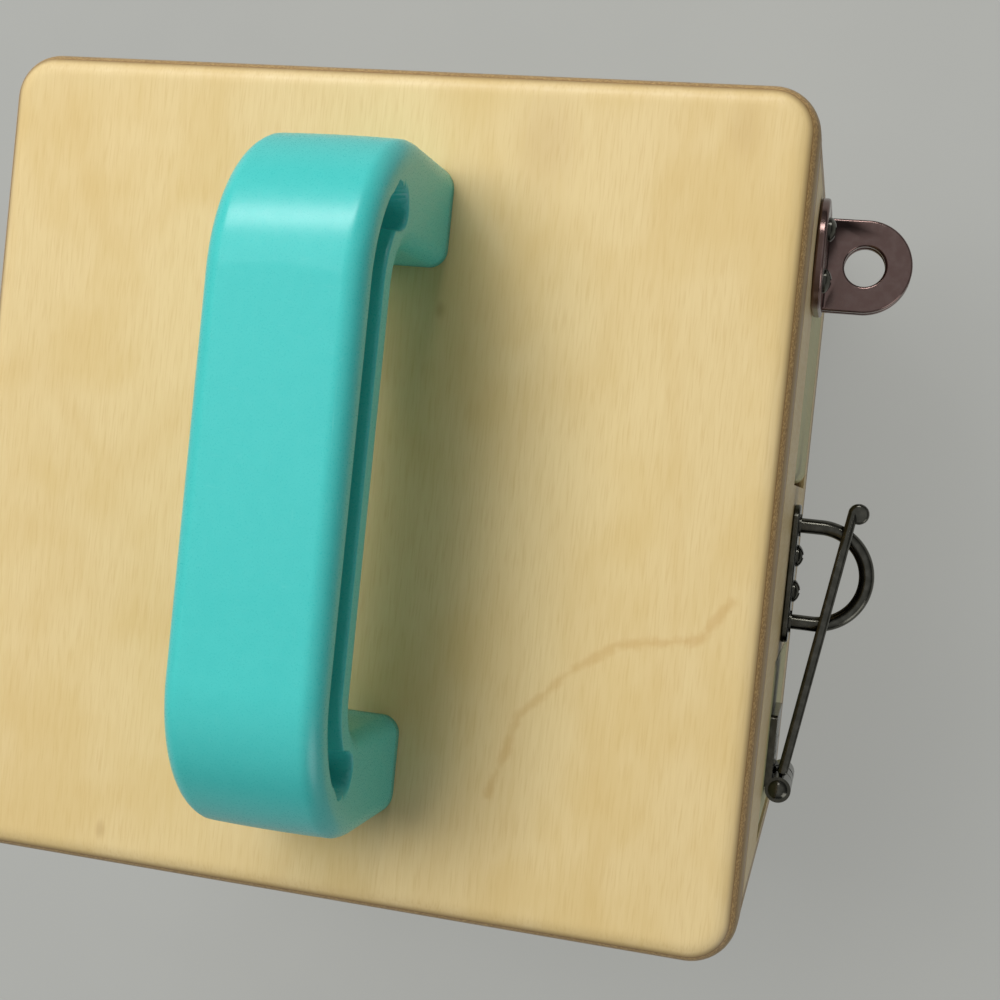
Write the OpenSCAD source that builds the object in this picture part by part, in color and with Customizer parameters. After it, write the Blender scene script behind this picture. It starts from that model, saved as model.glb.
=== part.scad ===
// Toddler's wooden lock box (busy board): a plywood cube with a moulded carry
// handle and a pin-hung door with its own latch on every side.
// Origin: centre of the bottom face. +Z up, +X is the face with the hasp.
// On each side wall, x runs to the right as seen from outside, y runs up from
// the ground and z stands out of the wall's face.

/* [Box] */
// Width and depth of the box, over the top panel
box_w = 160; // [150:1:200]
// Height of the box without its handle
box_h = 150; // [140:1:190]
// Thickness of the top and bottom panels
panel_t = 12; // [9:0.5:15]
// Thickness of the four side walls
wall_t = 12; // [10:0.5:13]
// Radius of the box's upright corners
corner_r = 9.5; // [6:0.5:10]
// Rounding of the panels' outer rims
rim_r = 4; // [2:0.5:5]
// Rounding of the panels' rims beside the walls
seam_r = 1; // [0.5:0.25:1.5]

/* [Doors] */
// Height of the rail above the two hasp-side doors
front_rail = 42.5; // [40:0.5:50]
// Height of the rail under the two hasp-side doors
front_sill = 14; // [10:0.5:20]
// Width of the post between the two hasp-side doors
post_w = 38; // [36:0.5:46]
// Sideways place of that post's middle
post_x = -10; // [-12:0.5:-8]
// Width of the opening on each of the other sides
side_open_w = 96; // [84:1:100]
// Height of the opening on each of the other sides
side_open_h = 92; // [80:1:96]
// Radius of the steel hinge pins
pin_r = 1.5; // [1.2:0.1:1.7]
// Depth of the hinge pins' middle behind the face
pin_d = 3.2; // [3:0.1:3.6]
// Length of a hinge pin
pin_l = 16; // [14:0.5:18]
// Width of a door stop strip
stop_w = 12; // [10:0.5:14]
// Thickness of a door stop strip
stop_t = 6; // [4:0.5:8]

/* [Handle] */
// Length of the handle over its feet
handle_l = 122.5; // [114:0.5:126]
// Height of the handle above the top panel
handle_h = 47.5; // [45:0.5:52]
// Width of the handle
handle_w = 28; // [24:0.5:32]
// Thickness of the grip
grip_t = 17.5; // [16:0.5:18.5]
// Length of one foot along the handle
foot_l = 19; // [17:0.5:21]
// Outer corner radius of the handle
handle_r = 28; // [25:0.5:30]
// Radius of the hand gap's upper corners
gap_r = 8; // [6:0.5:10]
// Rounding of the handle's outer edges
handle_edge = 4.4; // [3:0.2:4.6]
// Rounding of the edges round the hand gap
gap_edge = 3.5; // [1.5:0.5:4]
// Distance of the side grooves from the grip's outside
groove_in = 4.7; // [4.7:0.1:5.2]
// Width of the groove in each side of the grip
groove_w = 6.5; // [5:0.25:7]
// Angle past the top at which a groove ends in its drop
groove_end = 53; // [45:1:56]
// Depth of that groove
groove_d = 6; // [3:0.5:8]

/* [Hasp] */
// Distance from the top of its door's opening down to the hasp's middle
hasp_drop = 19.5; // [16:0.5:25]
// Width of the hasp
hasp_w = 24; // [20:0.5:26]
// Sheet thickness of the flap
hasp_t = 2.2; // [1.6:0.1:2.2]
// Distance from the hinge barrel to the middle of the staple
hasp_reach = 46.9; // [45:0.1:47]
// Length of the leaf under the flap, from the barrel's middle
leaf_l = 16; // [14:0.5:18]
// Radius of the hinge barrel
barrel_r = 2.8; // [2.5:0.1:2.9]
// Radius of the hinge barrel's pin
barrel_pin_r = 1.25; // [1:0.05:1.3]
// Angle at which the flap stands off the wall
flap_rest = 9; // [6:0.5:12]
// Distance between the staple's two legs
staple_span = 21.8; // [19:0.2:22]
// How far the staple stands out of the wall
staple_out = 19; // [17:0.5:22]
// Radius of the staple's wire
staple_r = 1.7; // [1.4:0.1:1.8]

/* [Eye plates] */
// Sideways place of the padlock eyes
eye_x = 56; // [54:0.5:57]
// Width of the eye plates' standing tabs
eye_w = 19.5; // [18:0.5:22]
// How far the tabs stand out of the wall
eye_out = 19.5; // [18:0.5:22]
// Sheet thickness of the eye plates
eye_t = 2; // [1.6:0.1:2.4]
// Length of the legs that are screwed on
eye_leg = 25; // [22:0.5:28]
// Radius of the padlock hole
eye_hole_r = 4.2; // [3.5:0.1:4.6]

/* [Barrel bolt] */
// Radius of the sliding rod
rod_r = 3; // [2.6:0.1:3.2]
// Travel of the rod
rod_travel = 12; // [11:0.5:13]
// Outer radius of the rod's barrel
case_r = 4.4; // [4.1:0.1:4.8]

/* [Turn button and hook] */
// Length of the wooden turn button
button_l = 34; // [30:1:38]
// Width of the wooden turn button
button_w = 13; // [11:0.5:14]
// Distance from the hook's pivot to its catch peg
hook_reach = 20; // [19:0.5:22]
// Width of the hook's arm
hook_w = 9; // [8:0.5:10]
// Angle past upright at which the open hook leans on its stop
hook_lean = 8; // [5:1:10]

/* [Hidden] */
$fn = 64;
// gaps and fits
door_gap = 0.8;          // round each door
back_gap = 0.2;          // between a door's back and its stop
pin_fit = 0.05;          // radial, hinge pins and sliding rod
screw_fit = 0.05;        // radial, screw in its pilot hole
hole_fit = 0.3;          // radial, screw through a plate
ring_fit = 0.15;         // radial, washer round its pin or screw
turn_fit = 0.1;          // radial, button or hook round its screw
tip_gap = 0.4;           // beyond the end of a pin or tenon in its hole
knuckle_gap = 0.3;       // between hinge knuckles
seat_gap = 0.1;          // under a washer's or a head's moving neighbour
// walls and doors
half = box_w / 2;
wall_h = box_h - 2 * panel_t;
inner = half - wall_t;
door_t = wall_t - back_gap;
front_y0 = panel_t + front_sill;
front_y1 = box_h - panel_t - front_rail;
hasp_x0 = -inner;
hasp_x1 = post_x - post_w / 2;
eye_x0 = post_x + post_w / 2;
eye_x1 = inner;
side_x = side_open_w / 2;
side_y0 = (box_h - side_open_h) / 2;
side_y1 = side_y0 + side_open_h;
mid_y = box_h / 2;
hasp_y = front_y1 - hasp_drop;
pin_in = (pin_l - door_gap) / 2;
washer_t = door_gap - seat_gap;
washer_r = pin_d - 0.1;
door_bevel = 0.8;        // across the free edge's corners
door_relief = 2.5;       // along its back corner, so that it swings clear
// screws: head radius, head height, shank radius, shank length
wood_screw = [2.5, 1.6, 1.4, 9];
big_screw = [4, 2.4, 2, 10];
flat_screw = [2.6, 1.3, 1.4, 9];  // its head is sunk into the leaf
// hasp
staple_x = post_x - 0.6;
staple_plate_t = 1.5;
staple_plate_l = 31;
staple_plate_w = 14;
collar_h = 0.4;
barrel_x = staple_x - hasp_reach;
barrel_z = barrel_r + knuckle_gap;
knuckle = hasp_w / 3;
slot_a = hasp_reach - staple_span / 2 - staple_r - 1;
slot_b = hasp_reach + staple_span / 2 + staple_r + 0.6;
slot_w = 8;
curl_r = 2.3;
flap_l = slot_b + curl_r + 0.2;
flap_tip_w = 15;
flap_taper = 9;
rivet_r = 2.1;
rivet_h = 1.1;
leaf_t = 1.5;
staple_arc = staple_span / 2;
leaf_screws = [for (s = [-1, 1]) [barrel_x + leaf_l / 2 + 1, hasp_y + s * (hasp_w / 2 - 5.5)]];
staple_screws_xy = [for (s = [-1, 1]) [staple_x + s * 4, hasp_y]];
// eye plates
eye_gap = 0.5;
eye_frame_y = front_y1 + eye_gap;
eye_door_y = front_y1 - door_gap;
eye_frame_w = 22.5;      // width of the leg on the wall
eye_door_w = 15;         // width of the leg on the door
// places of the screws in the legs: aside and up the leg
eye_frame_spots = [[-5.2, 13], [5.2, 13]];
eye_door_spots = [[0, 10], [0, 20]];
eye_frame_screws_xy = [for (p = eye_frame_spots) [eye_x + p[0], eye_frame_y + p[1]]];
eye_door_screws_xy = [for (p = eye_door_spots) [eye_x + p[0], eye_door_y - p[1]]];
// barrel bolt
bolt_end = side_x - 5.5;
case_l = 32;
case_x = bolt_end - case_l;
bolt_z = case_r + 0.8;
bolt_plate_t = 1.5;
bolt_plate_h = 26;
rod_x = case_x + 7;
rod_stem_l = 10;
rod_stem_r = 2;
rod_ball_r = 4;
keeper_x = side_x + 1.5;
keeper_l = 12;
bolt_screw_y = bolt_plate_h / 2 - 3.5;
bolt_screws_xy = [for (x = [case_x + 3, bolt_end - 3], s = [-1, 1]) [x, mid_y + s * bolt_screw_y]];
keeper_screws_xy = [for (s = [-1, 1]) [keeper_x + keeper_l / 2, mid_y + s * bolt_screw_y]];
// turn button
button_t = 6;
button_x = side_x + door_gap + button_w / 2 + 1.7;
button_washer_t = 0.6;
button_z = button_washer_t + seat_gap;
// hook
hook_x = side_x + 10;
hook_y = mid_y + 13;
hook_t = 2.2;
hook_z = 1;
hook_end = 8;
peg_r = 1.6;
stop_pin_r = 1.5;
stop_s = 16;
stop_off = hook_w / 2 + stop_pin_r + 0.05;
stop_pin_x = hook_x + stop_s * sin(hook_lean) + stop_off * cos(hook_lean);
stop_pin_y = hook_y + stop_s * cos(hook_lean) - stop_off * sin(hook_lean);
tenon_l = 8;
// knobs
knob_x = side_x - 22;
knob_y = mid_y;
knob_r = 7.5;
knob_tenon_r = 3;
// handle
screw_y = handle_l / 2 - foot_l / 2;
handle_screw_in = 14;
crown_r = 330;           // slight dome across the grip
drop_a = 12;             // degrees between a groove's neck and its drop
drop_in = 2;             // drop's middle, inward from the groove's
drop_r = 3.6;
// colours
birch = [0.87, 0.78, 0.58];
sage = [0.66, 0.69, 0.50];
teal = [0.24, 0.75, 0.73];
nickel = [0.33, 0.30, 0.29];
steel = [0.62, 0.62, 0.60];

// ---------- placing ----------

// children drawn on a wall's face go to the left (0), front (1), right (2) or back (3) wall
module on_side(k) rotate([0, 0, 90 * k]) translate([0, -half, 0]) rotate([90, 0, 0]) children();

// a plan drawn in (x, depth behind the face), pulled up from height y0
module upright(y0, h) translate([0, y0, 0]) rotate([-90, 0, 0]) linear_extrude(h) children();

// a rod parallel to the wall's upright direction
module post(x, z, y0, y1, r) translate([x, y0, z]) rotate([-90, 0, 0]) cylinder(h = y1 - y0, r = r);

// a rod parallel to the wall's x direction
module rail(y, z, x0, x1, r) translate([x0, y, z]) rotate([0, 90, 0]) cylinder(h = x1 - x0, r = r);

// ---------- repeated shapes ----------

// half of a slab's section: the flat inner end at x = 0, rounded rim at x = r
module rim_profile(r, t, top, low) {
    square([r - max(top, low), t]);
    translate([0, low]) square([r, t - top - low]);
    translate([0, t - top]) square([r - top, top]);
    square([r - low, low]);
    translate([r - top, t - top]) circle(top);
    translate([r - low, low]) circle(low);
}

// square slab with round plan corners and rounded rims, standing on z = 0
module slab(w, t, r, top, low) {
    s = w / 2 - r;
    translate([-s, -s, 0]) cube([2 * s, 2 * s, t]);
    for (k = [0:3]) rotate([0, 0, 90 * k]) {
        translate([s, s, 0]) rotate_extrude(angle = 90) rim_profile(r, t, top, low);
        translate([s, s, 0]) rotate([90, 0, 0]) linear_extrude(2 * s) rim_profile(r, t, top, low);
    }
}

// long slab with half-round ends, along x
module pill(l, w, t, top, low) {
    s = (l - w) / 2;
    for (k = [0, 1]) rotate([0, 0, 180 * k]) {
        translate([s, 0, 0]) rotate([0, 0, -90]) rotate_extrude(angle = 180)
            rim_profile(w / 2, t, top, low);
        translate([s, 0, 0]) rotate([90, 0, -90]) linear_extrude(2 * s) rim_profile(w / 2, t, top, low);
    }
}

// flat plate with rounded corners, from (x0, y0) to (x1, y1)
module plate(x0, y0, x1, y1, t, r) {
    translate([x0 + r, y0, 0]) cube([x1 - x0 - 2 * r, y1 - y0, t]);
    translate([x0, y0 + r, 0]) cube([x1 - x0, y1 - y0 - 2 * r, t]);
    for (x = [x0 + r, x1 - r], y = [y0 + r, y1 - r]) translate([x, y, 0]) cylinder(h = t, r = r);
}

// domed screw with a cross recess, its head seated at z = 0
module screw(s) difference() {
    union() {
        intersection() {
            cylinder(h = s[1], r = s[0]);
            translate([0, 0, s[1] - 1.3 * s[0]]) sphere(1.3 * s[0]);
        }
        translate([0, 0, -s[3]]) cylinder(h = s[3] + s[1] / 2, r = s[2]);
    }
    for (a = [0, 90]) rotate([0, 0, a])
        translate([-0.55 * s[0], -0.14 * s[0], 0.55 * s[1]]) cube([1.1 * s[0], 0.28 * s[0], s[1]]);
}

module screws_at(list, z, s) for (p = list) translate([p[0], p[1], z]) screw(s);

// head and shank of a countersunk screw whose top is at z = 0, made wider by fit
module sunk_shape(s, fit) {
    translate([0, 0, -s[1]]) cylinder(h = s[1], r1 = s[2] + fit, r2 = s[0] + fit);
    translate([0, 0, -s[3]]) cylinder(h = s[3], r = s[2] + fit);
}

// pilot holes in wood for the screws of a plate whose top is at z
module pilots(list, z, s) for (p = list)
    translate([p[0], p[1], z - s[3] - tip_gap]) cylinder(h = s[3] + 1, r = s[2] + screw_fit);

// clearance holes through a plate
module plate_holes(list, s) for (p = list) translate([p[0], p[1], -1]) cylinder(h = 8, r = s[2] + hole_fit);

// ---------- doors ----------

function pivot_x(x0) = x0 + door_gap + pin_d;

// door for the opening from x0 to x1 and y0 to y1; its left front edge is round about the pins
module door(x0, x1, y0, y1) {
    o = x0 + door_gap;
    a = pivot_x(x0);
    b = x1 - door_gap;
    c = door_bevel;
    difference() {
        union() {
            post(a, -pin_d, y0 + door_gap, y1 - door_gap, pin_d);
            upright(y0 + door_gap, y1 - y0 - 2 * door_gap)
                polygon([[a, 0], [b - c, 0], [b, c], [b, door_t - door_relief], [b - c, door_t],
                    [o + c, door_t], [o, door_t - c], [o, pin_d], [a, pin_d]]);
        }
        post(a, -pin_d, y0 + door_gap - 1, y0 + door_gap + pin_in + tip_gap, pin_r + pin_fit);
        post(a, -pin_d, y1 - door_gap - pin_in - tip_gap, y1 - door_gap + 1, pin_r + pin_fit);
    }
}

// the two pins of that door, half in the door and half in the rails
module pins(x0, y0, y1) for (y = [y0 - pin_in, y1 + pin_in - pin_l])
    post(pivot_x(x0), -pin_d, y, y + pin_l, pin_r);

// their holes in the wall
module pin_holes(x0, y0, y1) {
    post(pivot_x(x0), -pin_d, y0 - pin_in - tip_gap, y0 + 1, pin_r + pin_fit);
    post(pivot_x(x0), -pin_d, y1 - 1, y1 + pin_in + tip_gap, pin_r + pin_fit);
}

// washer that carries a door on its sill
module sill_washer(x0, y0) difference() {
    post(pivot_x(x0), -pin_d, y0, y0 + washer_t, washer_r);
    post(pivot_x(x0), -pin_d, y0 - 1, y0 + 2, pin_r + ring_fit);
}

module opening(x0, x1, y0, y1) translate([x0, y0, -wall_t - 1]) cube([x1 - x0, y1 - y0, wall_t + 2]);

// ---------- panels and walls ----------

module base_panel() color(birch) slab(box_w, panel_t, corner_r, seam_r, rim_r);

module top_panel() color(birch) difference() {
    translate([0, 0, box_h - panel_t]) slab(box_w, panel_t, corner_r, rim_r, seam_r);
    for (s = [-1, 1]) translate([0, s * screw_y, box_h - panel_t - 1])
        cylinder(h = panel_t + 2, r = big_screw[2] + hole_fit);
}

// left and right walls run the full width and carry the box's round corners
module long_wall() upright(panel_t, wall_h) {
    translate([-half + corner_r, 0]) square([box_w - 2 * corner_r, wall_t]);
    translate([-half, corner_r]) square([box_w, wall_t - corner_r]);
    for (s = [-1, 1]) translate([s * (half - corner_r), corner_r]) intersection() {
        circle(corner_r);
        translate([-corner_r, -corner_r]) square([2 * corner_r, wall_t]);
    }
}

module short_wall() translate([-inner, panel_t, -wall_t]) cube([2 * inner, wall_h, wall_t]);

module side_hole() {
    opening(-side_x, side_x, side_y0, side_y1);
    pin_holes(-side_x, side_y0, side_y1);
}

module wall_front() color(birch) on_side(1) difference() {
    short_wall();
    opening(hasp_x0 - 1, hasp_x1, front_y0, front_y1);
    opening(eye_x0, eye_x1 + 1, front_y0, front_y1);
    pin_holes(hasp_x0, front_y0, front_y1);
    pin_holes(eye_x0, front_y0, front_y1);
    pilots(staple_screws_xy, staple_plate_t, wood_screw);
    pilots(eye_frame_screws_xy, eye_t, wood_screw);
}

module wall_back() color(birch) on_side(3) difference() {
    short_wall();
    side_hole();
    pilots([[button_x, mid_y]], 0, big_screw);
}

module wall_left() color(birch) on_side(0) difference() {
    long_wall();
    side_hole();
    pilots(keeper_screws_xy, bolt_plate_t, wood_screw);
}

module wall_right() color(birch) on_side(2) difference() {
    long_wall();
    side_hole();
    pilots([[hook_x, hook_y]], 0, big_screw);
    tenon_hole(stop_pin_x, stop_pin_y, stop_pin_r);
}

// strips glued behind the walls, where each door's free edge comes to rest
module stop_strip(x0, y0, y1) translate([x0, y0, -wall_t - stop_t]) cube([stop_w, y1 - y0, stop_t]);

module door_stops() color(birch) {
    for (k = [0, 2, 3]) on_side(k) stop_strip(side_x - 4, side_y0 + 16, side_y1 - 16);
    on_side(1) {
        stop_strip(hasp_x1 - 4, front_y0 + 8, front_y1 - 8);
        intersection() {
            stop_strip(eye_x1 - 6.5, front_y0 + 8, front_y1 - 8);
            translate([0, 0, -wall_t - stop_t]) cube([inner, box_h, stop_t]);
        }
    }
}

// ---------- doors, pins and washers ----------

// hole in a wall or door for a glued tenon of radius r
module tenon_hole(x, y, r) translate([x, y, -tenon_l - tip_gap]) cylinder(h = tenon_l + 2, r = r + pin_fit);

module hasp_door() color(sage) on_side(1) difference() {
    door(hasp_x0, hasp_x1, front_y0, front_y1);
    pilots(leaf_screws, leaf_t, flat_screw);
}

module eye_door() color(sage) on_side(1) difference() {
    door(eye_x0, eye_x1, front_y0, front_y1);
    pilots(eye_door_screws_xy, eye_t, wood_screw);
}

module bolt_door() color(sage) on_side(0) difference() {
    door(-side_x, side_x, side_y0, side_y1);
    pilots(bolt_screws_xy, bolt_plate_t, wood_screw);
}

module button_door() color(sage) on_side(3) difference() {
    door(-side_x, side_x, side_y0, side_y1);
    tenon_hole(knob_x, knob_y, knob_tenon_r);
}

module hook_door() color(sage) on_side(2) difference() {
    door(-side_x, side_x, side_y0, side_y1);
    tenon_hole(knob_x, knob_y, knob_tenon_r);
    tenon_hole(hook_x - hook_reach, hook_y, peg_r);
}

module hasp_door_pins() color(steel) on_side(1) pins(hasp_x0, front_y0, front_y1);
module eye_door_pins() color(steel) on_side(1) pins(eye_x0, front_y0, front_y1);
module bolt_door_pins() color(steel) on_side(0) pins(-side_x, side_y0, side_y1);
module button_door_pins() color(steel) on_side(3) pins(-side_x, side_y0, side_y1);
module hook_door_pins() color(steel) on_side(2) pins(-side_x, side_y0, side_y1);

module hinge_washers() color("white") {
    for (k = [0, 2, 3]) on_side(k) sill_washer(-side_x, side_y0);
    on_side(1) for (x = [hasp_x0, eye_x0]) sill_washer(x, front_y0);
}

// turned wooden knob with a tenon glued into the door
module knob() translate([knob_x, knob_y, 0]) {
    translate([0, 0, -tenon_l]) cylinder(h = tenon_l + 1, r = knob_tenon_r);
    rotate_extrude() {
        square([4.5, 6]);
        square([6, 1.2]);
        translate([0, 3]) intersection() {
            translate([0, knob_r - 1]) circle(knob_r);
            square([knob_r, 2 * knob_r - 3]);
        }
    }
}

module button_door_knob() color(birch) on_side(3) knob();
module hook_door_knob() color(birch) on_side(2) knob();

// ---------- handle ----------

// section across the handle: x is its width, y = out is the slightly domed outside
module handle_section(out) intersection() {
    union() {
        translate([-handle_w / 2, 0]) square([handle_w, out - handle_edge]);
        translate([-handle_w / 2 + handle_edge, 0]) square([handle_w - 2 * handle_edge, out]);
        for (s = [-1, 1]) translate([s * (handle_w / 2 - handle_edge), out - handle_edge])
            circle(handle_edge);
    }
    translate([0, out - crown_r]) circle(crown_r, $fn = 512);
}

// the corner between a face of the hand gap and the handle's side, taken away to round it
module edge_waste() difference() {
    translate([-1, -1]) square(gap_edge + 1);
    translate([gap_edge, gap_edge]) circle(gap_edge);
}

// side view of an arch with flat feet and round upper corners
module arch(l, h, r) {
    translate([-l / 2, -1]) square([l, h - r + 1]);
    translate([-l / 2 + r, -1]) square([l - 2 * r, h + 1]);
    for (s = [-1, 1]) translate([s * (l / 2 - r), h - r]) circle(r);
}

// children drawn in the handle's side view, as a body from x0 across a width t
module side_view(x0, t) translate([x0, 0, 0]) rotate([90, 0, 90]) linear_extrude(t) children();

// rounding of the hand gap's four edges on the +Y side of the middle
module half_gap_edges() {
    g = handle_l / 2 - foot_l;
    h = handle_h - grip_t;
    for (m = [0, 1]) mirror([m, 0, 0]) {
        translate([handle_w / 2, g, -1]) rotate([0, 0, 90]) linear_extrude(h - gap_r + 1) edge_waste();
        translate([handle_w / 2, -0.5, h]) rotate([90, 0, 180]) linear_extrude(g - gap_r + 0.5)
            edge_waste();
        translate([handle_w / 2, g - gap_r, h - gap_r]) rotate([0, -90, 0]) rotate_extrude(angle = 90)
            translate([gap_r, 0]) edge_waste();
    }
}

// side view of the groove: it follows the grip and ends in drops in the corners
module groove() {
    a = groove_in;
    b = groove_in + groove_w;
    c = handle_l / 2 - handle_r;
    z = handle_h - handle_r;
    r = handle_r - groove_in - groove_w / 2;
    neck = groove_end - drop_a;
    intersection() {
        difference() {
            arch(handle_l - 2 * a, handle_h - a, handle_r - a);
            arch(handle_l - 2 * b, handle_h - b, handle_r - b);
        }
        polygon([[-c, z], [c, z],
            for (s = [1, -1]) [s * (c + 2 * handle_r * sin(neck)), z + 2 * handle_r * cos(neck)]]);
    }
    for (m = [0, 1]) mirror([m, 0]) translate([c, z]) hull() {
        rotate(90 - neck) translate([r, 0]) circle(groove_w / 2 - 0.1, $fn = 32);
        rotate(90 - groove_end) translate([r - drop_in, 0]) circle(drop_r, $fn = 32);
        rotate(90 - groove_end) translate([handle_r - groove_in - 1.1, 0]) circle(1, $fn = 32);
    }
}

// corner of the handle: its section swung round from the grip to the leg
module handle_corner() rotate([0, -90, 0]) rotate_extrude(angle = 90) intersection() {
    rotate(-90) handle_section(handle_r);
    translate([0, -handle_w]) square([handle_r + 1, 2 * handle_w]);
}

module handle() color(teal) translate([0, 0, box_h]) difference() {
    c = handle_l / 2 - handle_r;
    z = handle_h - handle_r;
    union() {
        translate([0, c, z]) rotate([90, 0, 0]) linear_extrude(2 * c) handle_section(handle_r);
        for (k = [0, 1]) rotate([0, 0, 180 * k]) {
            translate([0, c, z]) handle_corner();
            translate([0, c, 0]) linear_extrude(z) handle_section(handle_r);
        }
    }
    side_view(-handle_w / 2 - 1, handle_w + 2) arch(handle_l - 2 * foot_l, handle_h - grip_t, gap_r);
    for (k = [0, 1]) rotate([0, 0, 180 * k]) {
        half_gap_edges();
        side_view(handle_w / 2 - groove_d, groove_d + 1) groove();
    }
    for (s = [-1, 1]) translate([0, s * screw_y, -1])
        cylinder(h = 1 + handle_screw_in + tip_gap, r = big_screw[2] + screw_fit);
}

// long screws up through the top panel into the feet
module handle_screws() color(steel) for (s = [-1, 1]) translate([0, s * screw_y, box_h - panel_t])
    mirror([0, 0, 1]) screw([big_screw[0], big_screw[1], big_screw[2], panel_t + handle_screw_in]);

// ---------- hasp and staple ----------

// leaf on the door, hidden by the closed flap
module hasp_leaf() color(nickel) on_side(1) difference() {
    union() {
        w = hasp_w / 2;
        k = (knuckle - knuckle_gap) / 2;
        plate(barrel_x, hasp_y - w, barrel_x + leaf_l, hasp_y + w, leaf_t, 1.2);
        for (s = [-1, 1]) {
            y = hasp_y + s * (w - k);
            post(barrel_x, barrel_z, y - k, y + k, barrel_r);
        }
    }
    translate([barrel_x - barrel_r - 0.5, hasp_y - knuckle / 2 - knuckle_gap, -1])
        cube([2 * barrel_r + 1, knuckle + 2 * knuckle_gap, 2 * barrel_z + 2]);
    post(barrel_x, barrel_z, hasp_y - hasp_w, hasp_y + hasp_w, barrel_pin_r + pin_fit);
    for (p = leaf_screws) translate([p[0], p[1], leaf_t]) {
        sunk_shape(flat_screw, screw_fit);
        cylinder(h = 1, r = flat_screw[0] + screw_fit);
    }
}

// riveted hinge pin
module hasp_pin() color(nickel) on_side(1) {
    post(barrel_x, barrel_z, hasp_y - hasp_w / 2 - 0.5, hasp_y + hasp_w / 2 + 0.5, barrel_pin_r);
    for (s = [-1, 1]) translate([barrel_x, hasp_y + s * (hasp_w / 2 + 0.1), barrel_z])
        rotate([-90 * s, 0, 0]) intersection() {
            cylinder(h = rivet_h, r = rivet_r);
            translate([0, 0, rivet_h - 1.35 * rivet_r]) sphere(1.35 * rivet_r);
        }
}

module hasp_leaf_screws() color(steel) on_side(1) for (p = leaf_screws) translate([p[0], p[1], leaf_t])
    difference() {
        sunk_shape(flat_screw, 0);
        for (a = [0, 90]) rotate([0, 0, a]) translate([-1.4, -0.35, -0.6]) cube([2.8, 0.7, 1]);
    }

// slotted flap with a curled finger lip, standing a little off the wall
module hasp_flap() color(nickel) on_side(1) translate([barrel_x, hasp_y, barrel_z])
    rotate([0, -flap_rest, 0]) difference() {
    union() {
        a = barrel_r + 0.4;
        b = flap_l - flap_taper;
        w = hasp_w / 2;
        v = flap_tip_w / 2;
        post(0, 0, -knuckle / 2, knuckle / 2, barrel_r);
        translate([0, -knuckle / 2, -hasp_t / 2]) cube([barrel_r + 2, knuckle, hasp_t]);
        translate([0, 0, -hasp_t / 2]) linear_extrude(hasp_t)
            polygon([[a, -w], [b, -w], [flap_l, -v], [flap_l, v], [b, w], [a, w]]);
        post(flap_l, curl_r - hasp_t / 2, -flap_tip_w / 2, flap_tip_w / 2, curl_r);
    }
    post(0, 0, -hasp_w, hasp_w, barrel_pin_r + pin_fit);
    translate([slot_a + slot_w / 2, -slot_w / 2, -3]) cube([slot_b - slot_a - slot_w, slot_w, 6]);
    for (x = [slot_a + slot_w / 2, slot_b - slot_w / 2])
        translate([x, 0, -3]) cylinder(h = 6, r = slot_w / 2);
}

module staple_plate() color(nickel) on_side(1) difference() {
    l = staple_plate_l / 2;
    w = staple_plate_w / 2;
    plate(staple_x - l, hasp_y - w, staple_x + l, hasp_y + w, staple_plate_t, 4);
    for (s = [-1, 1]) translate([staple_x + s * staple_arc, hasp_y, -1])
        cylinder(h = staple_plate_t + 2, r = staple_r + pin_fit);
    plate_holes(staple_screws_xy, wood_screw);
}

// bent wire staple, riveted into its plate
module staple_loop() color(nickel) on_side(1) translate([staple_x, hasp_y, 0]) {
    z = staple_out - staple_arc - staple_r;
    for (s = [-1, 1]) translate([s * staple_arc, 0, 0.2]) cylinder(h = z - 0.2, r = staple_r);
    for (s = [-1, 1]) translate([s * staple_arc, 0, staple_plate_t])
        cylinder(h = collar_h, r = staple_r * 1.5);
    translate([0, 0, z]) rotate([90, 0, 0]) rotate_extrude(angle = 180)
        translate([staple_arc, 0]) circle(staple_r);
}

module staple_screws() color(steel) on_side(1) screws_at(staple_screws_xy, staple_plate_t, wood_screw);

// ---------- padlock eyes ----------

// angle plate: leg of width lw along +y on the wall, tab with a round end standing out
module eye_plate(lw, spots) {
    r = eye_w / 2;
    hz = eye_out - r;
    difference() {
        union() {
            translate([-lw / 2, 0, 0]) cube([lw, eye_leg - lw / 2, eye_t]);
            translate([0, eye_leg - lw / 2, 0]) cylinder(h = eye_t, r = lw / 2);
            translate([-r, 0, 0]) cube([eye_w, eye_t, hz]);
            translate([0, 0, hz]) rotate([-90, 0, 0]) cylinder(h = eye_t, r = r);
        }
        translate([0, -1, hz]) rotate([-90, 0, 0]) cylinder(h = eye_t + 2, r = eye_hole_r);
        plate_holes(spots, wood_screw);
        translate([-eye_w, -1, -10]) cube([2 * eye_w, eye_t + 2, 10]);
    }
}

module frame_eye() color(nickel) on_side(1) translate([eye_x, eye_frame_y, 0]) 
    eye_plate(eye_frame_w, eye_frame_spots);
module frame_eye_screws() color(steel) on_side(1) screws_at(eye_frame_screws_xy, eye_t, wood_screw);
module door_eye() color(nickel) on_side(1) translate([eye_x, eye_door_y, 0]) mirror([0, 1, 0])
    eye_plate(eye_door_w, eye_door_spots);
module door_eye_screws() color(steel) on_side(1) screws_at(eye_door_screws_xy, eye_t, wood_screw);

// ---------- barrel bolt ----------

module bolt_case() color(nickel) on_side(0) difference() {
    union() {
        h = bolt_plate_h / 2;
        plate(case_x - 1, mid_y - h, bolt_end + 1, mid_y + h, bolt_plate_t, 2);
        rail(mid_y, bolt_z, case_x, bolt_end, case_r);
    }
    rail(mid_y, bolt_z, case_x - 1, bolt_end + 1, rod_r + pin_fit);
    s = rod_stem_r + hole_fit;
    translate([rod_x - s, mid_y - s, bolt_z]) cube([rod_travel + 2 * s, 2 * s, case_r + 1]);
    plate_holes(bolt_screws_xy, wood_screw);
}

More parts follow.
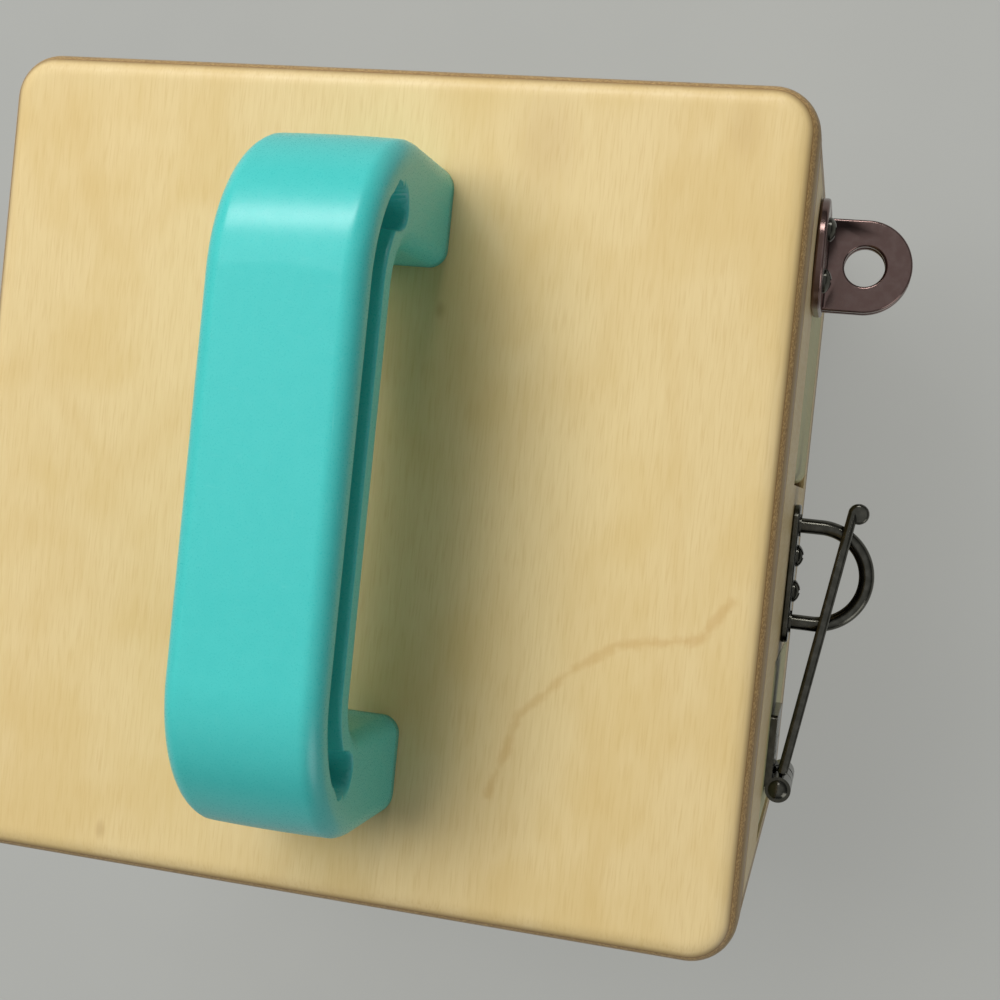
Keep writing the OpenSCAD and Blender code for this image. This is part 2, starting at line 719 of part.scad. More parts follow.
// sliding rod with a ball knob through the barrel's slot
module bolt_rod() color(steel) on_side(0) {
    rail(mid_y, bolt_z, case_x + 1, bolt_end - 0.5, rod_r);
    translate([bolt_end - 0.5, mid_y, bolt_z]) rotate([0, 90, 0])
        cylinder(h = 1, r1 = rod_r, r2 = rod_r - 1);
    translate([rod_x, mid_y, bolt_z]) cylinder(h = rod_stem_l, r = rod_stem_r);
    translate([rod_x, mid_y, bolt_z + rod_stem_l]) sphere(rod_ball_r);
}

module bolt_screws() color(steel) on_side(0) screws_at(bolt_screws_xy, bolt_plate_t, wood_screw);

module keeper() color(nickel) on_side(0) difference() {
    union() {
        h = bolt_plate_h / 2;
        plate(keeper_x, mid_y - h, keeper_x + keeper_l, mid_y + h, bolt_plate_t, 2);
        rail(mid_y, bolt_z, keeper_x + 1, keeper_x + keeper_l - 1, case_r + 0.4);
    }
    rail(mid_y, bolt_z, keeper_x - 1, keeper_x + keeper_l + 1, rod_r + 0.4);
    plate_holes(keeper_screws_xy, wood_screw);
}

module keeper_screws() color(steel) on_side(0) screws_at(keeper_screws_xy, bolt_plate_t, wood_screw);

// ---------- turn button ----------

module ring(h, ro, ri) difference() {
    cylinder(h = h, r = ro);
    translate([0, 0, -1]) cylinder(h = h + 2, r = ri);
}

module turn_button() color(birch) on_side(3) translate([button_x, mid_y, button_z]) difference() {
    rotate([0, 0, 90]) pill(button_l, button_w, button_t, 2, 0.5);
    translate([0, 0, -1]) cylinder(h = button_t + 2, r = big_screw[2] + turn_fit);
}

module button_washer() color(steel) on_side(3) translate([button_x, mid_y, 0])
    ring(button_washer_t, 5, big_screw[2] + ring_fit);

module button_screw() color(steel) on_side(3) translate([button_x, mid_y, button_z + button_t + seat_gap])
    screw([for (k = [0:3]) big_screw[k] + (k == 3 ? button_z + button_t + seat_gap - tip_gap : 0)]);

// ---------- hook ----------

// arm with a round eye, a notch for the peg and a round finger end; drawn pointing up
module hook_arm() color(nickel) on_side(2) translate([hook_x, hook_y, hook_z + seat_gap])
    rotate([0, 0, -hook_lean]) difference() {
    n = peg_r + hole_fit;
    union() {
        cylinder(h = hook_t, r = hook_w / 2 + 1.5);
        translate([-hook_w / 2, 0, 0]) cube([hook_w, hook_reach + hook_end - hook_w / 2, hook_t]);
        translate([0, hook_reach + hook_end - hook_w / 2, 0]) cylinder(h = hook_t, r = hook_w / 2);
    }
    translate([0, 0, -1]) cylinder(h = hook_t + 2, r = big_screw[2] + turn_fit);
    translate([0, hook_reach, -1]) cylinder(h = hook_t + 2, r = n);
    translate([-hook_w, hook_reach - n, -1]) cube([hook_w, 2 * n, hook_t + 2]);
}

module hook_washer() color(steel) on_side(2) translate([hook_x, hook_y, 0])
    ring(hook_z, 5, big_screw[2] + ring_fit);

module hook_screw() color(steel) on_side(2) translate([hook_x, hook_y, hook_z + hook_t + 2 * seat_gap])
    screw([for (k = [0:3]) big_screw[k] + (k == 3 ? hook_z + hook_t + 2 * seat_gap - tip_gap : 0)]);

// headed peg in the door, caught by the arm's notch
module hook_peg() color(steel) on_side(2) translate([hook_x - hook_reach, hook_y, 0]) {
    translate([0, 0, -tenon_l]) cylinder(h = tenon_l + 4, r = peg_r);
    cylinder(h = 0.7, r = 3);
    translate([0, 0, hook_z + hook_t + 0.5]) cylinder(h = 1.4, r = 3.2);
}

module hook_stop() color(steel) on_side(2) translate([stop_pin_x, stop_pin_y, 0]) {
    translate([0, 0, -tenon_l]) cylinder(h = tenon_l + 4, r = stop_pin_r);
    translate([0, 0, 4]) sphere(stop_pin_r);
}

// ---------- draw ----------

base_panel();
top_panel();
wall_front();
wall_back();
wall_left();
wall_right();
door_stops();
handle();
handle_screws();
hasp_door();
hasp_door_pins();
eye_door();
eye_door_pins();
bolt_door();
bolt_door_pins();
button_door();
button_door_pins();
hook_door();
hook_door_pins();
hinge_washers();
hasp_leaf();
hasp_pin();
hasp_leaf_screws();
hasp_flap();
staple_plate();
staple_loop();
staple_screws();
frame_eye();
frame_eye_screws();
door_eye();
door_eye_screws();
bolt_case();
bolt_rod();
bolt_screws();
keeper();
keeper_screws();
turn_button();
button_screw();
button_washer();
hook_arm();
hook_screw();
hook_washer();
hook_peg();
hook_stop();
button_door_knob();
hook_door_knob();
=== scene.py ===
"""A toddler's wooden lock box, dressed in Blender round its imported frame: lacquered
birch plywood, sage painted doors, a glossy moulded carry handle and black nickel
latches. Laid out as an add-on and run as a script."""

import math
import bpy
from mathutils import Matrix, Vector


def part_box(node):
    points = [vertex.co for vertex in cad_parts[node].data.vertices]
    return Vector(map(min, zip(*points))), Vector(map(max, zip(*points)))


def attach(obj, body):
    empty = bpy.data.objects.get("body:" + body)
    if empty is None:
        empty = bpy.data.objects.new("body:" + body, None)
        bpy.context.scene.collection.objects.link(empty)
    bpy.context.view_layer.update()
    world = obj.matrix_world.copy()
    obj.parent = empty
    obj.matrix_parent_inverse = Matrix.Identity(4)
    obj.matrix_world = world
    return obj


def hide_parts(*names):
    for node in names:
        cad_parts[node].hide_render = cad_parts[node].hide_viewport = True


bl_info = {
    "name": "Wooden Lock Box",
    "version": (1, 0, 0),
    "blender": (4, 5, 0),
    "location": "3D View > Sidebar > Lock Box",
    "description": "Finishes and fine shapes of a toddler's plywood lock box",
    "category": "Object",
}

import bmesh
import bpy
import numpy as np
from mathutils import Matrix

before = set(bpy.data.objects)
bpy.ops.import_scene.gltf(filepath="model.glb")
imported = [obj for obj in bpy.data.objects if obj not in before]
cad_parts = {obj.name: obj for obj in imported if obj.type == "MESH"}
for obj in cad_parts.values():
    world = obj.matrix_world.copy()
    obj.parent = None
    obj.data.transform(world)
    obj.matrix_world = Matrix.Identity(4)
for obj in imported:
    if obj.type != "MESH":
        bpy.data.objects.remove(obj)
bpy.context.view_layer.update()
MM = 0.001
SHEET = 12  # thickness of every panel and wall, in mm
PLIES = 9  # layers of that plywood
SHARP = math.radians(35)  # an outer edge that turns more than this is rounded
LIP = 0.7 * MM  # width of the filleted lip of the handle's groove
# the camera as worked out from the photograph: its axes, and its place seen from the top panel's middle
VIEW_RIGHT, VIEW_UP, VIEW_BACK = (0.9694, 0.1018, -0.2235), (-0.1036, 0.9946, 0.0033), (0.2226, 0.0200, 0.9747)
VIEW_PLACE = (0.0913, 0.0059, 0.2736)
BOX_LOW, BOX_HIGH = (np.array(corner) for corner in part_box("top_panel"))
HANDLE_LOW, HANDLE_HIGH = (np.array(corner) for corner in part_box("handle"))


# ---------- settings ----------


def length(name, description, default):
    """A size in metres, given in millimetres."""
    return bpy.props.FloatProperty(
        name=name, description=description, default=default * MM, min=0.0, unit="LENGTH", precision=4
    )


def angle(name, description, degrees):
    """An angle, given in degrees."""
    return bpy.props.FloatProperty(
        name=name, description=description, default=math.radians(degrees), subtype="ANGLE", precision=4
    )


def colour(name, description, hex_code):
    """A colour, given as an sRGB hex value and kept linear."""
    return bpy.props.FloatVectorProperty(
        name=name, description=description, default=linear(hex_code)[:3], size=3, min=0.0, max=1.0, subtype="COLOR"
    )


def linear(hex_code):
    """sRGB hex to linear RGBA: v / 12.92 up to 0.04045, and ((v + 0.055) / 1.055) ** 2.4 above it."""
    v = np.array([int(hex_code[i : i + 2], 16) / 255 for i in (1, 3, 5)])
    rgb = np.where(v <= 0.04045, v / 12.92, ((v + 0.055) / 1.055) ** 2.4)
    return (*rgb.tolist(), 1.0)


class LOCKBOX_PG_handle(bpy.types.PropertyGroup):
    """Sizes of the moulded carry handle."""

    span: bpy.props.FloatProperty(
        name="Length", description="Over both feet", default=float(HANDLE_HIGH[1] - HANDLE_LOW[1]), unit="LENGTH"
    )
    height: bpy.props.FloatProperty(
        name="Height", description="Above the top panel", default=float(HANDLE_HIGH[2] - BOX_HIGH[2]), unit="LENGTH"
    )
    width: bpy.props.FloatProperty(
        name="Width", description="Across the grip", default=float(HANDLE_HIGH[0] - HANDLE_LOW[0]), unit="LENGTH"
    )
    grip: length("Grip thickness", "From the outside to the hand gap", 17.5)
    foot: length("Foot length", "One foot, along the handle", 19.0)
    corner: length("Outer corner", "Radius of the outer corners in side view", 28.0)
    gap_corner: length("Gap corner", "Radius of the hand gap's corners", 8.0)
    edge: length("Outer edge", "Rounding between the outside and the sides", 4.4)
    gap_edge: length("Gap edge", "Rounding round the hand gap", 3.5)
    dome: length("Dome radius", "Crown across the outside", 330.0)
    groove_in: length("Groove inset", "From the outside to the groove", 4.7)
    groove_width: length("Groove width", "Across the groove", 6.5)
    groove_depth: length("Groove depth", "Into the side", 6.0)
    groove_end: angle("Groove end", "Angle past the top at which the drop's middle is", 53.0)
    neck_turn: angle("Neck", "Angle from the groove's neck to the drop's middle", 12.0)
    drop_radius: length("Drop radius", "Round part of the drop", 3.6)
    drop_inset: length("Drop inset", "Drop's middle inward from the groove's", 2.0)
    plastic: colour("Plastic", "Moulded colour", "#46C4BE")
    ripple: colour("Ripple", "Paler colour of the plastic's fine ripple", "#5AD2CB")
    scuff: colour("Scuffs", "Hairline scuffs on the plastic", "#A8E6E1")


class LOCKBOX_PG_wood(bpy.types.PropertyGroup):
    """Rims, colours and layers of the wood."""

    corner: length("Panel corner", "Radius of the panels' corners from above", 9.0)
    rim: length("Outer rim", "Rounding of a panel's rim on its outer face", 4.6)
    seam: length("Inner rim", "Rounding of a panel's rim beside the walls", 1.5)
    ply: length("Ply", "Thickness of one layer of the plywood", 1.333)
    face: colour("Birch face", "Lacquered face veneer", "#E0C893")
    streak: colour("Birch streak", "Late wood in the face veneer", "#D6BB82")
    fibre: colour("Birch fibre", "Fine dark fibres in the face veneer", "#C6A468")
    figure: colour("Birch figure", "Broad soft rings of the face veneer", "#CDAB6A")
    cloud: colour("Birch patch", "Warm patches in the face veneer", "#D1B270")
    knot: colour("Pin knot", "Small knots and pale blemishes", "#A9834E")
    stain: colour("Stain", "Mineral line across the top panel", "#BE9250")
    edge: colour("Birch edge", "End grain of the cross layers", "#8E6C3C")
    edge_light: colour("Birch edge, pale", "Pale specks of that end grain", "#C2A067")
    # edge and cut: partly the lacquered edge's own darker tone, partly painted shade on the panels' edges and rounded
    # rims
    glue: colour("Glue line", "Between two layers", "#7A5C33")
    cut: colour("Cut edge", "Lacquered edge of the plywood, darker than its face", "#8F7043")
    paint: colour("Door paint", "Sage paint", "#C3BC84")
    paint_grain: colour("Paint over grain", "Where the wood's grain shows through the paint", "#A2A677")
    paint_cloud: colour("Paint patch", "Where the paint lies thicker", "#BEC296")
    beech: colour("Beech", "Turned knobs and the turn button", "#D9B382")
    beech_streak: colour("Beech streak", "Late wood of the beech", "#C59A66")
    beech_fleck: colour("Beech fleck", "Ray flecks of the beech", "#8F6236")


class LOCKBOX_PG_metal(bpy.types.PropertyGroup):
    """Colours of the metal parts and of the nylon washers under the doors."""

    nickel: colour("Black nickel", "Eye plates", "#78625D")
    bloom: colour("Bloom", "Cloudy parts of the eye plates", "#8F7E79")
    worn: colour("Rubbed nickel", "Cloudy parts of the dark nickel", "#7C7A72")
    dark: colour("Dark nickel", "Hasp, staple, bolt case and hook", "#4E4D46")
    zinc: colour("Zinc plate", "Pins and screws", "#B4B5B3")
    zinc_bloom: colour("Zinc bloom", "Cloudy parts of the zinc plate", "#8F908E")
    nylon: colour("Nylon", "Undyed nylon", "#ECEBE4")
    nylon_grain: colour("Nylon grain", "Fine grain of the nylon", "#DEDCD2")


class LOCKBOX_PG_stage(bpy.types.PropertyGroup):
    """Floor, camera and light."""

    floor: colour("Floor", "Pale floor", "#CBCCC7")
    sky: colour("Sky", "Light of the room", "#F1F3F4")
    lens: bpy.props.FloatProperty(name="Lens", description="Focal length on a 36 mm sensor", default=54.45)
    key: bpy.props.FloatProperty(name="Skylight", description="Power in watts", default=18.4)
    window: bpy.props.FloatProperty(name="Window", description="Power in watts", default=5.0)
    doorway: bpy.props.FloatProperty(name="Doorway", description="Power in watts", default=3.5)
    fill: bpy.props.FloatProperty(name="Room", description="Strength of the world on matt surfaces", default=0.19)
    wall: bpy.props.FloatProperty(name="Wall", description="Strength of the world as seen and mirrored", default=0.42)


# ---------- mesh helpers ----------


def mesh_object(name, points, faces, smooth=True):
    """A new object from points (n, 3) in metres and a list of faces, linked to the scene."""
    mesh = bpy.data.meshes.new(name)
    mesh.from_pydata(np.asarray(points, dtype=float).tolist(), [], faces)
    mesh.validate()
    mesh.polygons.foreach_set("use_smooth", np.full(len(mesh.polygons), smooth))
    mesh.update()
    piece = bpy.data.objects.new(name, mesh)
    bpy.context.scene.collection.objects.link(piece)
    return piece


def loop_faces(rows, columns):
    """Quads of a grid whose every row is a closed loop."""
    i = np.arange(rows - 1)[:, None]
    j = np.arange(columns)[None, :]
    a = i * columns + j
    b = i * columns + (j + 1) % columns
    return np.stack([a, b, b + columns, a + columns], axis=-1).reshape(-1, 4).tolist()


def outward(piece):
    """Turns the faces outwards, judged by the sign of the enclosed volume."""
    mesh = piece.data
    mesh.calc_loop_triangles()
    corners = np.empty(len(mesh.loop_triangles) * 3, dtype=np.int64)
    mesh.loop_triangles.foreach_get("vertices", corners)
    place = np.empty(len(mesh.vertices) * 3)
    mesh.vertices.foreach_get("co", place)
    a, b, c = place.reshape(-1, 3)[corners.reshape(-1, 3)].transpose(1, 0, 2)
    if np.einsum("ij,ij->", a, np.cross(b, c)) < 0:
        mesh.flip_normals()
    return piece


def slab_surface(name, half, corner, low, high, low_rim, high_rim):
    """A square panel with rounded corners and rims. Its rim is a section of inset d and height z, an arc
    d = r (1 - sin a), z = r (1 - cos a) from each face to the side, carried round the outline, whose
    corners are circles of radius corner - d, and each face is closed by a fan from its middle."""
    flat = 0.6 * MM  # ring of flat face beside each rim, which keeps the shading of the rim off the face
    steps = 13  # points of each corner
    arc = np.linspace(0, math.pi / 2, 11)
    inset = np.concatenate([[high_rim + flat], high_rim * (1 - np.sin(arc)), low_rim * (1 - np.sin(arc[::-1]))])
    level = np.concatenate([[high], high - high_rim * (1 - np.cos(arc)), low + low_rim * (1 - np.cos(arc[::-1]))])
    inset, level = np.append(inset, low_rim + flat), np.append(level, low)
    turn = np.concatenate([quarter * math.pi / 2 + np.linspace(0, math.pi / 2, steps) for quarter in range(4)])
    side = np.repeat(np.array([[1, 1], [-1, 1], [-1, -1], [1, -1]]) * (half - corner), steps, axis=0)
    reach = (corner - inset)[:, None]
    x = side[None, :, 0] + reach * np.cos(turn)[None, :]
    y = side[None, :, 1] + reach * np.sin(turn)[None, :]
    z = np.broadcast_to(level[:, None], x.shape)
    rows, columns = x.shape
    points = np.concatenate([np.stack([x, y, z], axis=-1).reshape(-1, 3), [[0, 0, high], [0, 0, low]]])
    faces = loop_faces(rows, columns)
    top, bottom = np.arange(columns), (rows - 1) * columns + np.arange(columns)
    for centre, ring, following in (
        (rows * columns, np.roll(top, -1), top),
        (rows * columns + 1, bottom, np.roll(bottom, -1)),
    ):
        faces += np.stack([np.full(columns, centre), ring, following], axis=-1).tolist()
    return mesh_object(name, points, faces)


def rounded_copy(node, name, radius_mm):
    """A copy of a CAD node as a piece, its doubles merged and its flats made whole, with every sharp
    outer edge rounded to an arc of the given radius, as tumbling, sanding or paint does. Inner corners
    and the bottoms of bores stay as cut."""
    shape = bmesh.new()
    shape.from_mesh(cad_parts[node].data)
    bmesh.ops.remove_doubles(shape, verts=shape.verts, dist=0.002 * MM)
    bmesh.ops.dissolve_limit(shape, angle_limit=math.radians(0.3), verts=shape.verts, edges=shape.edges)
    weight = shape.edges.layers.float.new("bevel_weight_edge")
    for edge in shape.edges:
        if edge.is_convex and edge.calc_face_angle(0) > SHARP:
            edge[weight] = 1
    mesh = bpy.data.meshes.new(name)
    shape.to_mesh(mesh)
    shape.free()
    if "custom_normal" in mesh.attributes:
        mesh.attributes.remove(mesh.attributes["custom_normal"])
    mesh.materials.clear()
    mesh.polygons.foreach_set("use_smooth", np.full(len(mesh.polygons), True))
    piece = bpy.data.objects.new(name, mesh)
    bpy.context.scene.collection.objects.link(piece)
    arc = piece.modifiers.new("edge_radius", "BEVEL")
    arc.width = radius_mm * MM
    arc.segments = 3
    arc.limit_method = "WEIGHT"
    arc.use_clamp_overlap = False
    arc.harden_normals = True
    return piece


def finish_piece(piece, material, body, slot, *nodes):
    """Gives a piece its material and body, and hides the CAD nodes that it stands for. Its slot is not used."""
    piece.data.materials.append(material)
    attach(outward(piece), body)
    if nodes:
        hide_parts(*nodes)


# ---------- material helpers ----------


def add(tree, kind, inputs=None, **settings):
    """Adds a node. inputs maps a socket's name or number to a value or to another node's output."""
    node = tree.nodes.new(kind)
    for key, value in settings.items():
        setattr(node, key, value)
    for key, value in (inputs or {}).items():
        if isinstance(value, bpy.types.NodeSocket):
            tree.links.new(value, node.inputs[key])
        else:
            node.inputs[key].default_value = value
    return node


def new_material(name):
    """An empty node material with its Principled shader."""
    material = bpy.data.materials.new(name)
    material.use_nodes = True
    tree = material.node_tree
    tree.nodes.clear()
    shader = add(tree, "ShaderNodeBsdfPrincipled")
    add(tree, "ShaderNodeOutputMaterial", {"Surface": shader.outputs[0]})
    return material, tree, shader


def millimetres(tree, stretch=(1, 1, 1), order="XYZ"):
    """Object coordinates in millimetres, with the axes put in the given order and stretched."""
    place = add(tree, "ShaderNodeTexCoord").outputs["Object"]
    split = add(tree, "ShaderNodeSeparateXYZ", {0: place})
    ordered = add(tree, "ShaderNodeCombineXYZ", {k: split.outputs[axis] for k, axis in enumerate(order)})
    scale = [1000 * s for s in stretch]
    return add(tree, "ShaderNodeVectorMath", {0: ordered.outputs[0], 1: scale}, operation="MULTIPLY").outputs[0]


def noise(tree, vector, detail=2.0, roughness=0.5, distortion=0.0):
    """Noise with a period of about one unit of its vector."""
    inputs = {"Vector": vector, "Scale": 1.0, "Detail": detail, "Roughness": roughness, "Distortion": distortion}
    return add(tree, "ShaderNodeTexNoise", inputs).outputs["Fac"]


def spread(tree, value, low, high, to_low=0.0, to_high=1.0):
    """Smooth step of a value between low and high."""
    inputs = {"Value": value, "From Min": low, "From Max": high, "To Min": to_low, "To Max": to_high}
    return add(tree, "ShaderNodeMapRange", inputs, interpolation_type="SMOOTHSTEP").outputs[0]


def maths(tree, operation, *values):
    """A Math node's output."""
    return add(tree, "ShaderNodeMath", dict(enumerate(values)), operation=operation).outputs[0]


def blend(tree, factor, a, b):
    """Mix of two colours, through the Mix node's colour sockets 6 and 7."""
    return add(tree, "ShaderNodeMix", {"Factor": factor, 6: a, 7: b}, data_type="RGBA").outputs[2]


def bumps(tree, height, depth_mm, strength):
    """Bump of a height from 0 to 1 over a depth in millimetres."""
    return add(tree, "ShaderNodeBump", {"Height": height, "Distance": depth_mm * MM, "Strength": strength}).outputs[0]


def looked_at(tree):
    """1 for what the camera sees, itself or in a mirror or through glass, and 0 for light on matt surfaces."""
    path = add(tree, "ShaderNodeLightPath").outputs
    seen = maths(tree, "MAXIMUM", path["Is Camera Ray"], path["Is Glossy Ray"])
    return maths(tree, "MAXIMUM", seen, path["Is Transmission Ray"])


def rgba(value):
    """A colour property as RGBA."""
    return (*value, 1.0)


# ---------- materials ----------


def way_to_line(tree, place, corners):
    """Distance in millimetres from a place to a line of straight runs, the least of |p - a - t (b - a)|
    with t held between 0 and 1."""
    nearest = 1000.0
    for start, end in zip(corners, corners[1:]):
        step = np.subtract(end, start)
        reach = (step / (step @ step)).tolist()
        from_start = add(tree, "ShaderNodeVectorMath", {0: place, 1: (*start, 0)}, operation="SUBTRACT").outputs[0]
        t = add(tree, "ShaderNodeVectorMath", {0: from_start, 1: (*reach, 0)}, operation="DOT_PRODUCT").outputs["Value"]
        held = maths(tree, "MINIMUM", maths(tree, "MAXIMUM", t, 0.0), 1.0)
        foot = add(tree, "ShaderNodeVectorMath", {0: step.tolist() + [0], "Scale": held}, operation="SCALE").outputs[0]
        away = add(tree, "ShaderNodeVectorMath", {0: from_start, 1: foot}, operation="DISTANCE").outputs["Value"]
        nearest = maths(tree, "MINIMUM", away, nearest)
    return nearest


def lacquered_birch_ply(name, wood, order, start_mm, plies, knots=(), stain=()):
    """Birch plywood, sanded and clear lacquered: pale and even, with faint straight streaks 1 to 2 mm
    apart, a broad soft figure, and light and dark layers with thin glue lines on the edges, darkened in part as painted
    shade.
    order puts the axes as across the grain, along it, and through the layers."""
    material, tree, shader = new_material(name)
    place = millimetres(tree, order=order)
    across, along, through = add(tree, "ShaderNodeSeparateXYZ", {0: place}).outputs
    streak = noise(tree, millimetres(tree, (1.0, 0.08, 1.0), order), 4, 0.55, 0.3)
    fibre = noise(tree, millimetres(tree, (3.2, 0.16, 3.2), order), 1, 0.5)
    broad = noise(tree, millimetres(tree, (0.021, 0.008, 0.021), order), 1, 0.45, 0.5)
    rings = maths(tree, "PINGPONG", maths(tree, "MULTIPLY", broad, 5.0), 0.5)
    cloud = noise(tree, millimetres(tree, (0.05, 0.035, 0.05), order), 2, 0.55)
    face = blend(tree, spread(tree, streak, 0.36, 0.72, 0.0, 0.4), rgba(wood.face), rgba(wood.streak))
    face = blend(tree, spread(tree, fibre, 0.48, 0.74, 0.0, 0.27), face, rgba(wood.fibre))
    face = blend(tree, spread(tree, rings, 0.3, 0.5, 0.0, 0.16), face, rgba(wood.figure))
    face = blend(tree, spread(tree, cloud, 0.4, 0.68, 0.0, 0.4), face, rgba(wood.cloud))
    for x, y, size, depth in knots:
        near = add(tree, "ShaderNodeCombineXYZ", {0: across, 1: maths(tree, "MULTIPLY", along, 0.6)}).outputs[0]
        away = add(tree, "ShaderNodeVectorMath", {0: near, 1: (x, 0.6 * y, 0)}, operation="DISTANCE").outputs["Value"]
        wobble = maths(tree, "ADD", away, maths(tree, "MULTIPLY", streak, 1.2 * size))
        face = blend(tree, spread(tree, wobble, 2.6 * size, 0.7 * size, 0.0, depth), face, rgba(wood.knot))
    if stain:
        level = add(tree, "ShaderNodeCombineXYZ", {0: across, 1: along}).outputs[0]
        sway = maths(tree, "MULTIPLY", noise(tree, millimetres(tree, (0.25, 0.25, 0.0), order), 3, 0.6), 3.0)
        away = maths(tree, "ADD", way_to_line(tree, level, stain), sway)
        face = blend(tree, spread(tree, away, 2.9, 1.5, 0.0, 0.34), face, rgba(wood.stain))
    # layers: whole part and fraction of the depth in plies, held within the outer plies of the two faces
    skin = 0.22
    depth = maths(tree, "DIVIDE", maths(tree, "SUBTRACT", through, start_mm), wood.ply / MM)
    depth = maths(tree, "MAXIMUM", maths(tree, "MINIMUM", depth, plies - skin), skin)
    part = maths(tree, "FRACT", depth)
    cross = maths(tree, "GREATER_THAN", maths(tree, "MODULO", depth, 2.0), 1.0)
    line = spread(tree, maths(tree, "ABSOLUTE", maths(tree, "SUBTRACT", part, 0.5)), 0.4, 0.49)
    speck = noise(tree, millimetres(tree, (1.9, 1.9, 4.5), order), 2, 0.6)
    # the end grain and cut colours on a panel's edges and down its rounded rim: partly the plywood's own edge tone,
    # partly painted shade
    end_grain_and_shade = blend(tree, spread(tree, speck, 0.38, 0.66), rgba(wood.edge), rgba(wood.edge_light))
    inner = maths(tree, "MINIMUM", depth, maths(tree, "SUBTRACT", plies, depth))
    face = blend(tree, spread(tree, inner, 0.3, 1.0, 0.0, 0.75), face, rgba(wood.cut))
    body = blend(tree, maths(tree, "MULTIPLY", cross, 0.85), face, end_grain_and_shade)
    body = blend(tree, maths(tree, "MULTIPLY", line, spread(tree, speck, 0.3, 0.6, 0.45, 0.9)), body, rgba(wood.glue))
    relief = maths(tree, "SUBTRACT", streak, maths(tree, "MULTIPLY", line, 0.6))
    tree.links.new(body, shader.inputs["Base Color"])
    tree.links.new(spread(tree, streak, 0.3, 0.7, 0.4, 0.5), shader.inputs["Roughness"])
    tree.links.new(bumps(tree, relief, 0.03, 0.35), shader.inputs["Normal"])
    shader.inputs["IOR"].default_value = 1.48
    shader.inputs["Coat Weight"].default_value = 0.1
    shader.inputs["Coat Roughness"].default_value = 0.3
    return material


def sage_painted_ply(name, wood):
    """Water based satin paint rolled on plywood: an even pale green with a faint roller stipple
    about 0.8 mm across, and grain that shows through a little."""
    material, tree, shader = new_material(name)
    stipple = noise(tree, millimetres(tree, (1.3, 1.3, 1.3)), 3, 0.6)
    grain = noise(tree, millimetres(tree, (0.9, 0.9, 0.03)), 4, 0.6)
    cloud = noise(tree, millimetres(tree, (0.05, 0.05, 0.05)), 2, 0.5)
    paint = blend(tree, spread(tree, grain, 0.35, 0.7, 0.0, 0.3), rgba(wood.paint), rgba(wood.paint_grain))
    paint = blend(tree, spread(tree, cloud, 0.35, 0.7, 0.0, 0.35), paint, rgba(wood.paint_cloud))
    height = maths(tree, "ADD", maths(tree, "MULTIPLY", stipple, 0.5), maths(tree, "MULTIPLY", grain, 0.5))
    tree.links.new(paint, shader.inputs["Base Color"])
    tree.links.new(spread(tree, stipple, 0.3, 0.7, 0.4, 0.55), shader.inputs["Roughness"])
    tree.links.new(bumps(tree, height, 0.05, 0.6), shader.inputs["Normal"])
    shader.inputs["IOR"].default_value = 1.5
    return material


def lacquered_beech(name, wood, order):
    """Steamed beech, turned or sawn and lacquered: warm, with many short dark ray flecks,
    about 2 mm long and 0.3 mm wide, along the grain."""
    material, tree, shader = new_material(name)
    streak = noise(tree, millimetres(tree, (0.7, 0.05, 0.7), order), 4, 0.6)
    fleck = spread(tree, noise(tree, millimetres(tree, (2.6, 0.5, 2.6), order), 1.5, 0.4), 0.6, 0.68)
    body = blend(tree, spread(tree, streak, 0.35, 0.7), rgba(wood.beech), rgba(wood.beech_streak))
    body = blend(tree, maths(tree, "MULTIPLY", fleck, 0.6), body, rgba(wood.beech_fleck))
    tree.links.new(body, shader.inputs["Base Color"])
    tree.links.new(spread(tree, streak, 0.3, 0.7, 0.32, 0.45), shader.inputs["Roughness"])
    tree.links.new(bumps(tree, fleck, 0.04, 0.4), shader.inputs["Normal"])
    shader.inputs["IOR"].default_value = 1.48
    shader.inputs["Coat Weight"].default_value = 0.2
    shader.inputs["Coat Roughness"].default_value = 0.2
    return material


def glossy_moulded_abs(name, h):
    """Injection moulded ABS with a polished tool: a deep even colour, soft wide highlights,
    a very fine ripple about 2 mm long, and hairline scuffs from play."""
    material, tree, shader = new_material(name)
    ripple = noise(tree, millimetres(tree, (0.5, 0.5, 0.5)), 2, 0.5)
    grit = noise(tree, millimetres(tree, (3.5, 3.5, 3.5)), 2, 0.6)
    scuff_long = noise(tree, millimetres(tree, (3.0, 0.12, 0.9)), 2, 0.5, 0.4)
    scuff_skew = noise(tree, millimetres(tree, (0.25, 1.9, 1.1)), 2, 0.5, 0.8)
    scuffs = maths(tree, "MAXIMUM", spread(tree, scuff_long, 0.7, 0.78), spread(tree, scuff_skew, 0.7, 0.78))
    body = blend(tree, spread(tree, ripple, 0.35, 0.65, 0.0, 0.12), rgba(h.plastic), rgba(h.ripple))
    body = blend(tree, maths(tree, "MULTIPLY", scuffs, 0.12), body, rgba(h.scuff))
    gloss = maths(tree, "ADD", spread(tree, grit, 0.3, 0.7, 0.26, 0.36), maths(tree, "MULTIPLY", scuffs, 0.15))
    height = maths(tree, "SUBTRACT", maths(tree, "MULTIPLY", grit, 0.4), maths(tree, "MULTIPLY", scuffs, 0.4))
    tree.links.new(body, shader.inputs["Base Color"])
    tree.links.new(gloss, shader.inputs["Roughness"])
    tree.links.new(bumps(tree, height, 0.012, 0.5), shader.inputs["Normal"])
    shader.inputs["IOR"].default_value = 1.53
    shader.inputs["Subsurface Weight"].default_value = 0.06
    shader.inputs["Subsurface Radius"].default_value = (0.4, 1.0, 1.0)
    shader.inputs["Subsurface Scale"].default_value = 0.0015
    return material


